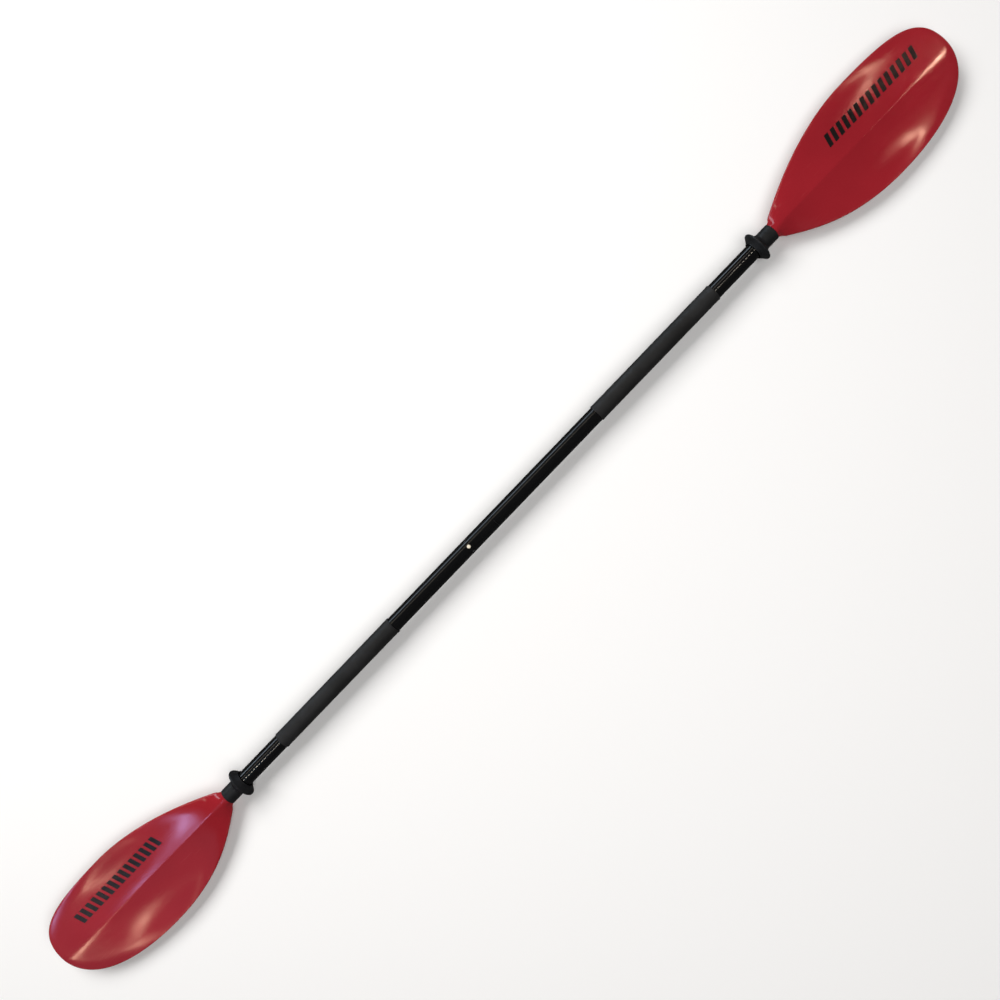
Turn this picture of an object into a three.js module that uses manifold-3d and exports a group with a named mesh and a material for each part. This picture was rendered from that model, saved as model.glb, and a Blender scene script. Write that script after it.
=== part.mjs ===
// A two-piece recreational kayak paddle, lying flat with its power faces up.
// Units are millimetres. +X runs along the shaft to the right blade, +Y points to the blades'
// long edges and +Z is up. The origin is on the floor under the middle of the shaft.
// The two halves mirror each other about the plane x = 0, and the blades are not feathered.

import * as THREE from 'three';
import { mergeVertices } from 'three/addons/utils/BufferGeometryUtils.js';
import Module from 'manifold-3d';

const wasm = await Module();
wasm.setup();

// ---- driving dimensions ----

const TOTAL_LENGTH = 2300;
const GAP = 0.3; // left between pieces that touch or slide in real life
const SIDES = 32; // facets around every round piece

const SHAFT_RADIUS = 15;
const TUBE_WALL = 1.5;
const TUBE_BORE = SHAFT_RADIUS - TUBE_WALL;

const GRIP = { start: 265, end: 562, radius: 16.3 };
const COLLAR = { start: 683.3, end: 709, radius: 16.2 };
const RING = { mouth: 661.5, length: 21.5, radius: 29 };

const FERRULE = { start: -105, end: 85, radius: TUBE_BORE - GAP, wall: 1.5 };
const FERRULE_BORE = FERRULE.radius - FERRULE.wall;

const BUTTON = { x: -65, radius: 3.4, flangeRadius: 4.6, flangeTop: 10.1, base: 8.6, rise: 3 };
const FEATHER_STEP = THREE.MathUtils.degToRad(60); // between the three button holes

const SPRING = { thickness: 0.6, width: 8, legEnd: -80, bend: -20, foot: -10.6 };

const PLUG = { length: 28, leftEnd: -120, rightStart: 92 };

const RIVET = { x: 694, shank: 1.6, head: 2.6, tip: 8 };

const BLADE = {
  root: COLLAR.end + GAP,
  tip: TOTAL_LENGTH / 2,
  tipY: 18,
  neckStart: 640,
  neckRadius: TUBE_BORE - GAP,
  edge: 3.4,
  middle: 5,
};

const SHAFT_HEIGHT = RING.radius; // the drip rings touch the floor

// ---- colours and finishes ----

const finish = (color, roughness, metalness) => ({ color, roughness, metalness });
const RED_PLASTIC = finish(0xa81e2a, 0.3, 0);
const BLACK_TUBE = finish(0x101114, 0.25, 0);
const BLACK_GRIP = finish(0x1c1c1d, 0.85, 0);
const BLACK_RUBBER = finish(0x2a2b2d, 0.7, 0);
const CREAM_PLASTIC = finish(0xe8dfc8, 0.45, 0);
const GREY_COMPOSITE = finish(0x3a3b3d, 0.5, 0);
const STEEL = finish(0xb4b6b8, 0.3, 1);
const FOAM = finish(0xe9e4d6, 0.95, 0);

// ---- solids and booleans ----

function mergedByPosition(geometry) {
  const bare = geometry.clone();
  bare.deleteAttribute('normal');
  bare.deleteAttribute('uv');
  return mergeVertices(bare, 1e-4);
}

function toSolid(geometry) {
  const merged = mergedByPosition(geometry);
  const vertProperties = Float32Array.from(merged.attributes.position.array);
  const triVerts = Uint32Array.from(merged.index.array);
  return new wasm.Manifold(new wasm.Mesh({ numProp: 3, vertProperties, triVerts }));
}

function toGeometry(solid) {
  const mesh = solid.getMesh();
  const geometry = new THREE.BufferGeometry();
  geometry.setAttribute('position', new THREE.BufferAttribute(mesh.vertProperties, 3));
  geometry.setIndex(new THREE.BufferAttribute(mesh.triVerts, 1));
  geometry.computeVertexNormals();
  return geometry;
}

function cut(geometry, tools) {
  let solid = toSolid(geometry);
  for (const tool of tools) {
    solid = solid.subtract(toSolid(tool));
  }
  return toGeometry(solid);
}

// A ring of material about the X axis. The profile lists [x, radius] pairs and closes on itself.
function turned(profile) {
  const points = profile.map(([x, radius]) => new THREE.Vector2(radius, x));
  points.push(points[0].clone());
  const geometry = new THREE.LatheGeometry(points, SIDES);
  geometry.rotateZ(-Math.PI / 2);
  return facingOut(geometry);
}

function facingOut(geometry) {
  const merged = mergedByPosition(geometry);
  const index = merged.index.array;
  if (signedVolume(merged) < 0) {
    for (let i = 0; i < index.length; i += 3) {
      const first = index[i];
      index[i] = index[i + 1];
      index[i + 1] = first;
    }
  }
  merged.computeVertexNormals();
  return merged;
}

function signedVolume(geometry) {
  const position = geometry.attributes.position;
  const corners = [new THREE.Vector3(), new THREE.Vector3(), new THREE.Vector3()];
  let volume = 0;
  for (let i = 0; i < geometry.index.count; i += 3) {
    corners.forEach((corner, k) => corner.fromBufferAttribute(position, geometry.index.getX(i + k)));
    volume += corners[0].dot(corners[1].cross(corners[2])) / 6;
  }
  return volume;
}

function pipe(start, end, outer, inner) {
  return turned([[start, inner], [start, outer], [end, outer], [end, inner]]);
}

// A cylinder standing on the X axis at x, turned about X by the given angle from straight up.
function radialPin(x, angle, radius, bottom, top) {
  const geometry = new THREE.CylinderGeometry(radius, radius, top - bottom, 24);
  geometry.rotateX(Math.PI / 2);
  geometry.translate(0, 0, (top + bottom) / 2);
  geometry.rotateX(angle);
  geometry.translate(x, 0, 0);
  return geometry;
}

function mirrored(geometry) {
  const copy = mergedByPosition(geometry);
  copy.scale(-1, 1, 1);
  return facingOut(copy);
}

// ---- shaft, ferrule and its lock ----

const HALF_JOINT_GAP = GAP / 2;
const RIVET_ANGLES = [0, Math.PI];

function rivetHoles(radius, bottom) {
  return RIVET_ANGLES.map((angle) => radialPin(RIVET.x, angle, radius + GAP, bottom, SHAFT_RADIUS + 1));
}

function rightTube() {
  const tube = pipe(HALF_JOINT_GAP, COLLAR.end - GAP, SHAFT_RADIUS, TUBE_BORE);
  return cut(tube, rivetHoles(RIVET.head, TUBE_BORE - 1));
}

function leftTube() {
  const holes = [-FEATHER_STEP, 0, FEATHER_STEP].map((angle) =>
    radialPin(BUTTON.x, angle, BUTTON.radius + GAP, TUBE_BORE - 2, SHAFT_RADIUS + 1));
  return cut(mirrored(rightTube()), holes);
}

function ferrule() {
  const sleeve = pipe(FERRULE.start, FERRULE.end, FERRULE.radius, FERRULE_BORE);
  return cut(sleeve, [radialPin(BUTTON.x, 0, BUTTON.radius + GAP, FERRULE_BORE - 2, SHAFT_RADIUS)]);
}

function roundPlug(start, end, radius) {
  const profile = [[start, 0], [start, radius], [end, radius], [end, 0]];
  const points = profile.map(([x, r]) => new THREE.Vector2(r, x));
  const geometry = new THREE.LatheGeometry(points, SIDES);
  geometry.rotateZ(-Math.PI / 2);
  return facingOut(geometry);
}

function snapButton() {
  const top = SHAFT_RADIUS + BUTTON.rise;
  const dome = 1.6;
  const points = [new THREE.Vector2(0, BUTTON.base), new THREE.Vector2(BUTTON.flangeRadius, BUTTON.base)];
  points.push(new THREE.Vector2(BUTTON.flangeRadius, BUTTON.flangeTop));
  points.push(new THREE.Vector2(BUTTON.radius, BUTTON.flangeTop));
  for (let i = 0; i <= 5; i += 1) {
    const angle = (i / 5) * (Math.PI / 2);
    points.push(new THREE.Vector2(BUTTON.radius * Math.cos(angle), top - dome + dome * Math.sin(angle)));
  }
  points[points.length - 1].x = 0;
  const geometry = new THREE.LatheGeometry(points, 24);
  geometry.rotateX(Math.PI / 2);
  geometry.translate(BUTTON.x, 0, 0);
  return facingOut(geometry);
}

// A strip of even thickness that follows a side-view path of [x, z] points.
function bentStrip(path, thickness, width) {
  const points = path.map(([x, z]) => new THREE.Vector2(x, z));
  const side = (offset) => points.map((point, i) => {
    const before = points[Math.max(i - 1, 0)];
    const after = points[Math.min(i + 1, points.length - 1)];
    const along = after.clone().sub(before).normalize();
    return point.clone().add(new THREE.Vector2(-along.y, along.x).multiplyScalar(offset));
  });
  const outline = [...side(thickness / 2), ...side(-thickness / 2).reverse()];
  const geometry = new THREE.ExtrudeGeometry(new THREE.Shape(outline), { depth: width, bevelEnabled: false });
  geometry.rotateX(Math.PI / 2);
  geometry.translate(0, width / 2, 0);
  return facingOut(geometry);
}

// A V of spring steel: the foot lies in the ferrule and the upper leg carries the button.
function leafSpring() {
  const seat = BUTTON.base - GAP - SPRING.thickness / 2;
  const half = (seat + SPRING.foot) / 2;
  const path = [
    [BUTTON.x - 7, seat],
    [BUTTON.x + 7, seat],
    [SPRING.bend - 8, half - 3],
    [SPRING.bend, SPRING.foot + 4],
    [SPRING.bend - 1, SPRING.foot + 1],
    [SPRING.bend - 5, SPRING.foot],
    [SPRING.legEnd, SPRING.foot],
  ];
  return bentStrip(path, SPRING.thickness, SPRING.width);
}

function rivet(angle) {
  const top = SHAFT_RADIUS - GAP;
  const shoulder = TUBE_BORE;
  const profile = [[0, RIVET.tip], [RIVET.shank, RIVET.tip], [RIVET.shank, shoulder], [RIVET.head, top], [0, top]];
  const points = profile.map(([r, y]) => new THREE.Vector2(r, y));
  const geometry = new THREE.LatheGeometry(points, 16);
  geometry.rotateX(Math.PI / 2);
  geometry.rotateX(angle);
  geometry.translate(RIVET.x, 0, 0);
  return facingOut(geometry);
}

// ---- grips, collars and drip rings ----

function grip() {
  const round = 0.4;
  const inner = SHAFT_RADIUS + GAP;
  return turned([
    [GRIP.start, inner],
    [GRIP.start, GRIP.radius],
    [GRIP.end - round, GRIP.radius],
    [GRIP.end, GRIP.radius - round],
    [GRIP.end, inner],
  ]);
}

function collar() {
  return pipe(COLLAR.start, COLLAR.end, COLLAR.radius, SHAFT_RADIUS + GAP);
}

// A rubber saucer on a hub. Its open mouth looks to the middle of the paddle.
function dripRing() {
  const bore = SHAFT_RADIUS + GAP;
  const profile = [
    [0, 17.2],
    [5.5, bore],
    [RING.length, bore],
    [RING.length, 16.9],
    [18.2, 18.2],
    [15.2, 21.8],
    [13.2, 27.5],
    [12, RING.radius],
    [10.4, RING.radius],
    [8.9, 27.8],
    [4.9, 22.6],
    [1, 18.2],
    [0, 17.7],
  ];
  return turned(profile.map(([along, radius]) => [RING.mouth + along, radius]));
}

// ---- blades ----

// The outline runs from the root along each edge to the tip, as two curves a side.
function edgePath(y, widestX, widestY, leave, arrive, reach) {
  const path = new THREE.CurvePath();
  const at = (px, py) => new THREE.Vector2(px, py);
  const widest = at(widestX, widestY);
  path.add(new THREE.CubicBezierCurve(at(BLADE.root, y), leave, arrive, widest));
  path.add(new THREE.CubicBezierCurve(widest, at(reach[0], widestY), at(BLADE.tip, reach[1]),
    at(BLADE.tip, BLADE.tipY)));
  return path;
}

const at2 = (x, y) => new THREE.Vector2(x, y);
const LONG_EDGE = edgePath(16.5, 975, 93.2, at2(762, 44), at2(870, 93.2), [1098, 84]);
const SHORT_EDGE = edgePath(-16.5, 945, -93.2, at2(757, -45), at2(818, -93.2), [1062, -62]);

// Where the spine of the power face runs: straight out along the shaft, then to the tip.
const SPINE = new THREE.CurvePath();
SPINE.add(new THREE.CubicBezierCurve(at2(BLADE.root, 0), at2(790, 0), at2(880, 0), at2(960, 0)));
SPINE.add(new THREE.CubicBezierCurve(at2(960, 0), at2(1040, 0), at2(1110, 6), at2(BLADE.tip, BLADE.tipY)));

// A smooth curve through [position, value] pairs.
function throughPoints(pairs) {
  const positions = pairs.map(([position]) => position);
  const values = pairs.map(([, value]) => value);
  const curve = new THREE.CubicInterpolant(positions, values, 1, new Float32Array(1));
  return (position) => curve.evaluate(position)[0];
}

// Heights are above the shaft's axis, along the blade from root (0) to tip (1).
const spineHeight = throughPoints([
  [0, 12.5], [0.12, 8.6], [0.3, 2.4], [0.5, -3], [0.63, -3.6], [0.78, -1], [0.9, 2.2], [1, 5],
]);
const spineSlope = throughPoints([
  [0, 0.55], [0.08, 0.28], [0.2, 0.17], [0.4, 0.15], [0.6, 0.125], [0.75, 0.1], [0.88, 0.07], [1, 0.05],
]);
const dish = throughPoints([
  [0, 0], [0.15, 0.0006], [0.4, 0.0015], [0.6, 0.0014], [0.75, 0.0009], [0.88, 0.0003], [1, 0.0001],
]);
const backRib = throughPoints([[0, 19], [0.15, 12], [0.3, 7.5], [0.5, 3], [0.7, 0.5], [0.85, 0], [1, 0]]);
const RIB_WIDTH = 13;

function faceHeight(x, y) {
  const s = (x - BLADE.root) / (BLADE.tip - BLADE.root);
  return spineHeight(s) - spineSlope(s) * Math.abs(y) + dish(s) * y * y;
}

function bladeThickness(x, y, fromEdge) {
  const s = (x - BLADE.root) / (BLADE.tip - BLADE.root);
  const body = THREE.MathUtils.lerp(BLADE.edge, BLADE.middle, Math.min(fromEdge * 2, 1));
  return body + Math.max(backRib(s), 0) * Math.exp(-((y / RIB_WIDTH) ** 2));
}

const COLUMNS = 12; // spaces across the blade, half of them on each side of the spine
const ROWS = 25;

// The root is round like the collar, and turns into the flat blade over these lengths.
const ROOT = { radius: 15.4, widen: 12, flatten: 40 };

// A circle with its points in the order of a blade section's.
function roundSection(x, radius) {
  const loop = [];
  for (let i = 0; i <= COLUMNS; i += 1) {
    const angle = Math.PI * ((i + 0.5) / (COLUMNS + 1));
    loop.push(new THREE.Vector3(x, -radius * Math.cos(angle), radius * Math.sin(angle)));
  }
  const below = loop.map((point) => new THREE.Vector3(point.x, point.y, -point.z)).reverse();
  return [...loop, ...below];
}

// One closed loop of points: over the power face from the short edge, back under the blade.
function bladeSection(t) {
  const edges = [SHORT_EDGE.getPoint(t), SPINE.getPoint(t), LONG_EDGE.getPoint(t)];
  const over = [];
  const under = [];
  for (let i = 0; i <= COLUMNS; i += 1) {
    const v = (i / COLUMNS) * 2;
    const side = Math.min(Math.floor(v), 1);
    const point = edges[side].clone().lerp(edges[side + 1], v - side);
    const fromEdge = 1 - Math.abs(v - 1);
    const top = faceHeight(point.x, point.y);
    over.push(new THREE.Vector3(point.x, point.y, top));
    under.push(new THREE.Vector3(point.x, point.y, top - bladeThickness(point.x, point.y, fromEdge)));
  }
  return blendedWithRoot([...over, ...under.reverse()]);
}

function blendedWithRoot(loop) {
  const circle = roundSection(BLADE.root, ROOT.radius);
  return loop.map((point, i) => {
    const wide = THREE.MathUtils.smoothstep(point.x, BLADE.root, BLADE.root + ROOT.widen);
    const flat = THREE.MathUtils.smoothstep(point.x, BLADE.root, BLADE.root + ROOT.flatten);
    const y = THREE.MathUtils.lerp(circle[i].y, point.y, wide);
    const z = THREE.MathUtils.lerp(circle[i].z, point.z, flat);
    return new THREE.Vector3(point.x, y, z);
  });
}

function loft(sections) {
  const count = sections[0].length;
  const positions = sections.flat().flatMap((point) => [point.x, point.y, point.z]);
  const index = [];
  for (let row = 0; row < sections.length - 1; row += 1) {
    for (let i = 0; i < count; i += 1) {
      const next = (i + 1) % count;
      const corners = [row * count + i, row * count + next, (row + 1) * count + next, (row + 1) * count + i];
      index.push(corners[0], corners[1], corners[2], corners[0], corners[2], corners[3]);
    }
  }
  for (const row of [0, sections.length - 1]) {
    const centre = positions.length / 3;
    const middle = sections[row].reduce((sum, point) => sum.add(point), new THREE.Vector3());
    middle.divideScalar(count);
    positions.push(middle.x, middle.y, middle.z);
    for (let i = 0; i < count; i += 1) {
      const pair = [row * count + i, row * count + ((i + 1) % count)];
      index.push(centre, ...(row === 0 ? pair.reverse() : pair));
    }
  }
  const geometry = new THREE.BufferGeometry();
  geometry.setAttribute('position', new THREE.Float32BufferAttribute(positions, 3));
  geometry.setIndex(index);
  return facingOut(geometry);
}

function rightBlade() {
  const neck = BLADE.neckRadius;
  const sections = [roundSection(BLADE.neckStart, neck), roundSection(BLADE.root, neck)];
  const lastRow = 0.995; // the tip is closed just short of a point
  for (let row = 0; row <= ROWS; row += 1) {
    sections.push(bladeSection((row / ROWS) ** 1.2 * lastRow));
  }
  return cut(loft(sections), rivetHoles(RIVET.shank, RIVET.tip - GAP));
}

// ---- assembly ----

function named(name, geometry, look) {
  const mesh = new THREE.Mesh(geometry, new THREE.MeshStandardMaterial(look));
  mesh.name = name;
  return mesh;
}

const paddle = new THREE.Group();
paddle.position.z = SHAFT_HEIGHT;

// These pieces are alike on both halves, mirrored about the middle.
const PAIRS = [
  ['grip', grip, BLACK_GRIP],
  ['drip_ring', dripRing, BLACK_RUBBER],
  ['collar', collar, BLACK_RUBBER],
  ['blade', rightBlade, RED_PLASTIC],
  ['upper_rivet', () => rivet(0), STEEL],
  ['lower_rivet', () => rivet(Math.PI), STEEL],
];

for (const [name, make, look] of PAIRS) {
  const geometry = make();
  paddle.add(named(`right_${name}`, geometry, look));
  paddle.add(named(`left_${name}`, mirrored(geometry), look));
}

paddle.add(named('left_shaft_tube', leftTube(), BLACK_TUBE));
paddle.add(named('right_shaft_tube', rightTube(), BLACK_TUBE));
paddle.add(named('ferrule', ferrule(), GREY_COMPOSITE));
paddle.add(named('snap_button', snapButton(), CREAM_PLASTIC));
paddle.add(named('button_spring', leafSpring(), STEEL));

const plug = (end, radius) => roundPlug(end - PLUG.length, end, radius);
paddle.add(named('left_foam_plug', plug(PLUG.leftEnd, TUBE_BORE - GAP), FOAM));
paddle.add(named('right_foam_plug', plug(PLUG.rightStart + PLUG.length, TUBE_BORE - GAP), FOAM));
paddle.add(named('ferrule_plug', plug(FERRULE.end - 1, FERRULE_BORE - GAP), FOAM));

export default paddle;
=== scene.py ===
"""Looks of a two-piece kayak paddle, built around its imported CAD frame.

Everything is in metres in the frame's own axes: +X along the shaft to the right blade, +Y to the
blades' long edges and +Z up. The left half mirrors the right one, so each paired piece is made once
for the right side and mirrored.
"""
import math

import bmesh
import bpy
import numpy as np
from mathutils import Matrix, Vector


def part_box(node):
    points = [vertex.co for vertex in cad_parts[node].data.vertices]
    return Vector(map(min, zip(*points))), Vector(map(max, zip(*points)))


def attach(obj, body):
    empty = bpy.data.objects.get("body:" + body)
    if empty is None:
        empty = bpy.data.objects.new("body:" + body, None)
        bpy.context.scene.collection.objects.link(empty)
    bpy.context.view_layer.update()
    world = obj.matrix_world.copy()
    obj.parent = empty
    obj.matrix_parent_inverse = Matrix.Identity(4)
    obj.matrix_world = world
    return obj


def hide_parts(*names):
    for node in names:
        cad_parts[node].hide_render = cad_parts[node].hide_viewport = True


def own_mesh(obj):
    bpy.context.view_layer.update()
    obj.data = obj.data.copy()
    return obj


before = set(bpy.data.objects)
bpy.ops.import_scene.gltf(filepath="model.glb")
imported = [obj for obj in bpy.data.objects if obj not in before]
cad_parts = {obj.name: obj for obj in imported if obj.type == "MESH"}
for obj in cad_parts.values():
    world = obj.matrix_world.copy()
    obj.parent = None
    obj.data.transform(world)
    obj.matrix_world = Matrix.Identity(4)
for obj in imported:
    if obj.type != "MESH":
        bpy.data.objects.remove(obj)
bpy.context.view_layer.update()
MM = 0.001
GAP = 0.3 * MM  # left between pieces that touch or slide in real life
TUBE_WALL = 1.5 * MM

# ---- sizes read from the frame ----

tube_low, tube_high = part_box("right_shaft_tube")
AXIS_Z = (tube_low.z + tube_high.z) / 2
SHAFT_RADIUS = (tube_high.y - tube_low.y) / 2
blade_low, blade_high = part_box("right_blade")
collar_low, collar_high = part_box("right_collar")
button_low, button_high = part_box("snap_button")
BUTTON_X = (button_low.x + button_high.x) / 2
TIP_X = blade_high.x
NECK_X = blade_low.x
ROOT_X = collar_high.x + GAP


# ---- mesh helpers ----

def link_mesh(name, vertices, faces):
    mesh = bpy.data.meshes.new(name)
    mesh.from_pydata([tuple(v) for v in vertices], [], faces)
    mesh.validate()
    obj = bpy.data.objects.new(name, mesh)
    bpy.context.scene.collection.objects.link(obj)
    return obj


def shade(obj, sharp_degrees=35):
    """Smooth faces, with edges sharper than the given angle kept hard."""
    bm = bmesh.new()
    bm.from_mesh(obj.data)
    bmesh.ops.recalc_face_normals(bm, faces=bm.faces)
    limit = math.radians(sharp_degrees)
    for face in bm.faces:
        face.smooth = True
    for edge in bm.edges:
        edge.smooth = len(edge.link_faces) == 2 and edge.calc_face_angle() < limit
    bm.to_mesh(obj.data)
    bm.free()


def mirror(vertices):
    """The same points on the left half."""
    return [(-x, y, z) for x, y, z in vertices]


def place(obj, body, material, slot, *nodes):
    """Gives a piece its material and body, and lets it stand for the given CAD nodes."""
    obj.data.materials.clear()
    obj.data.materials.append(material)
    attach(obj, body)
    if nodes:
        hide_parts(*nodes)


def ring_faces(start, count):
    """Faces between the loop of points that begins at start and the next one."""
    faces = []
    for k in range(count):
        n = (k + 1) % count
        faces.append((start + k, start + n, start + count + n, start + count + k))
    return faces


def revolve(profile, closed, segments=96):
    """Points and faces of a profile of (x, radius) pairs turned about the shaft's axis."""
    vertices = []
    rings = []
    for x, radius in profile:
        if radius < 1e-7:
            rings.append([len(vertices)])
            vertices.append((x, 0.0, AXIS_Z))
            continue
        start = len(vertices)
        for k in range(segments):
            angle = 2 * math.pi * k / segments
            vertices.append((x, radius * math.sin(angle), AXIS_Z + radius * math.cos(angle)))
        rings.append(list(range(start, start + segments)))
    pairs = list(zip(rings, rings[1:]))
    if closed:
        pairs.append((rings[-1], rings[0]))
    faces = []
    for a, b in pairs:
        for k in range(segments):
            n = (k + 1) % segments
            if len(a) == 1:
                faces.append((a[0], b[n], b[k]))
            elif len(b) == 1:
                faces.append((a[k], a[n], b[0]))
            else:
                faces.append((a[k], a[n], b[n], b[k]))
    return vertices, faces


def rounded(points, radius, steps=4):
    """A closed profile of (x, r, factor) points, each corner rounded to factor times the radius."""
    result = []
    count = len(points)
    for i, (x, r, factor) in enumerate(points):
        here = Vector((x, r))
        if factor == 0:
            result.append((x, r))
            continue
        before = Vector(points[i - 1][:2]) - here
        after = Vector(points[(i + 1) % count][:2]) - here
        size = min(radius * factor, before.length * 0.45, after.length * 0.45)
        start = here + before.normalized() * size
        end = here + after.normalized() * size
        for k in range(steps + 1):
            t = k / steps
            p = start * (1 - t) ** 2 + here * 2 * t * (1 - t) + end * t * t
            result.append((p.x, p.y))
    return result


# ---- blade shape: the CAD blade's curves, with a softer spine and a rolled rim ----

def smooth_curve(pairs):
    """A cubic through (position, value) pairs with free ends."""
    xs = np.array([p for p, _ in pairs], float)
    ys = np.array([v for _, v in pairs], float)
    n = len(xs)
    h = np.diff(xs)
    a = np.zeros((n, n))
    b = np.zeros(n)
    a[0, 0] = a[-1, -1] = 1
    for i in range(1, n - 1):
        a[i, i - 1] = h[i - 1]
        a[i, i] = 2 * (h[i - 1] + h[i])
        a[i, i + 1] = h[i]
        b[i] = 6 * ((ys[i + 1] - ys[i]) / h[i] - (ys[i] - ys[i - 1]) / h[i - 1])
    m = np.linalg.solve(a, b)

    def at(x):
        x = np.clip(x, xs[0], xs[-1])
        i = np.clip(np.searchsorted(xs, x, side="right") - 1, 0, n - 2)
        u = xs[i + 1] - x
        v = x - xs[i]
        step = h[i]
        return (m[i] * u ** 3 + m[i + 1] * v ** 3) / (6 * step) \
            + (ys[i] / step - m[i] * step / 6) * u + (ys[i + 1] / step - m[i + 1] * step / 6) * v
    return at


def bezier(p0, p1, p2, p3, t):
    t = np.asarray(t)[..., None]
    p0, p1, p2, p3 = (np.array(p, float) for p in (p0, p1, p2, p3))
    return p0 * (1 - t) ** 3 + 3 * p1 * t * (1 - t) ** 2 + 3 * p2 * t * t * (1 - t) + p3 * t ** 3


def two_beziers(first, second, t):
    t = np.asarray(t, float)
    near = bezier(*first, np.clip(t * 2, 0, 1))
    far = bezier(*second, np.clip(t * 2 - 1, 0, 1))
    return np.where((t < 0.5)[..., None], near, far)


# Blade curves are in mm. Each edge is two cubics of (x, y) points, from the root to the tip.
TIP_MM = TIP_X / MM
ROOT_MM = ROOT_X / MM
TIP = (TIP_MM, 18)
LONG_EDGE = [[(ROOT_MM, 16.5), (762, 44), (870, 93.2), (975, 93.2)],
             [(975, 93.2), (1098, 93.2), (TIP_MM, 84), TIP]]
SHORT_EDGE = [[(ROOT_MM, -16.5), (757, -45), (818, -93.2), (945, -93.2)],
              [(945, -93.2), (1062, -93.2), (TIP_MM, -62), TIP]]
SPINE = [[(ROOT_MM, 0), (790, 0), (880, 0), (960, 0)],
         [(960, 0), (1040, 0), (1110, 6), TIP]]

# These run from 0 at the root to 1 at the tip. Heights are in mm, the dish is a curvature per mm.
spine_height = smooth_curve([
    (0, 12.5), (0.12, 8.6), (0.3, 2.4), (0.5, -3), (0.63, -3.6), (0.78, -1), (0.9, 2.2), (1, 5)])
spine_slope = smooth_curve([
    (0, 0.55), (0.08, 0.28), (0.2, 0.17), (0.4, 0.15), (0.6, 0.125), (0.75, 0.1), (0.88, 0.07), (1, 0.05)])
dish = smooth_curve([
    (0, 0), (0.15, 0.0006), (0.4, 0.0015), (0.6, 0.0014), (0.75, 0.0009), (0.88, 0.0003), (1, 0.0001)])
back_rib = smooth_curve([(0, 19), (0.15, 12), (0.3, 7.5), (0.5, 3), (0.7, 0.5), (0.85, 0), (1, 0)])
RIB_WIDTH = 13
EDGE_THICKNESS = 3.4
MIDDLE_THICKNESS = 5


def blade_share(x):
    """How far x is along the blade: 0 at the root, 1 at the tip."""
    return (x - ROOT_MM) / (TIP_MM - ROOT_MM)


def smoothstep(x):
    x = np.clip(x, 0, 1)
    return x * x * (3 - 2 * x)


RIM_ROLL = 0.9
RIM_ROLL_WIDTH = 20
CREST = 0.6  # how round the spine is on top, in mm
ROOT_CREST = 1.6
TIP_CREST = 6.5
ROOT_END = 0.15  # where the root's blends end, as a share of the blade
TIP_START = 0.7  # where the spine starts to flatten


def face_height(x, y, from_rim):
    """Height of the power face above the shaft's axis in mm: a soft spine, a dish and a rolled rim."""
    s = blade_share(x)
    crest = CREST + ROOT_CREST * np.clip(1 - s / ROOT_END, 0, 1)
    crest = crest + TIP_CREST * smoothstep((s - TIP_START) / ROOT_END)
    ridge = np.sqrt(y * y + crest * crest) - crest
    roll = RIM_ROLL * np.clip(1 - from_rim / RIM_ROLL_WIDTH, 0, 1) ** 2 * smoothstep(s / ROOT_END)
    return spine_height(s) - spine_slope(s) * ridge + dish(s) * y * y - roll


def blade_thickness(x, y, from_edge):
    """Thickness in mm, with the rib on the back; from_edge is 0 at the rim and 1 on the spine."""
    s = blade_share(x)
    body = EDGE_THICKNESS + (MIDDLE_THICKNESS - EDGE_THICKNESS) * np.clip(from_edge * 2, 0, 1)
    return body + np.clip(back_rib(s), 0, None) * np.exp(-(y / RIB_WIDTH) ** 2)


COLUMNS_PER_SIDE = 34
COLUMN_BIAS = 1.4
half_columns = (np.arange(COLUMNS_PER_SIDE + 1) / COLUMNS_PER_SIDE) ** COLUMN_BIAS
COLUMNS = np.concatenate([-half_columns[:0:-1], half_columns])
EDGE_ANGLES = np.radians([60, 30, 0, -30, -60])
TOP_ARC = math.radians(80)  # a round section's columns reach this far each way from straight up
SIDE_ARC = 10 / 90  # the rest of each quarter turn goes to the edge's points
NECK_LOOPS = 3
NECK_RADIUS = (SHAFT_RADIUS - TUBE_WALL - GAP) / MM
NECK_CHAMFER = 1
ROOT_RADIUS = 15.4
ROOT_BLEND_HEIGHT = 40
ROOT_BLEND_WIDTH = 12


def round_loop(x, radius):
    """A circle of points in the same order as a blade section's."""
    turn = COLUMNS * TOP_ARC
    over = np.stack([np.full(len(turn), x), radius * np.sin(turn), radius * np.cos(turn)], 1)
    under = over * [1, 1, -1]
    around = EDGE_ANGLES * SIDE_ARC
    long_arc = np.stack([np.full(len(around), x), radius * np.cos(around), radius * np.sin(around)], 1)
    short_arc = long_arc * [1, -1, 1]
    return np.concatenate([over, long_arc, under[::-1], short_arc[::-1]])


def edge_arc(edge, inward, middle, half):
    """A half circle round one edge of the blade, from its power face to its back."""
    points = []
    for angle in EDGE_ANGLES:
        pull = half * (1 - math.cos(angle))
        x, y = edge + inward * pull
        points.append([x, y, middle + half * math.sin(angle)])
    return np.array(points)


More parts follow.
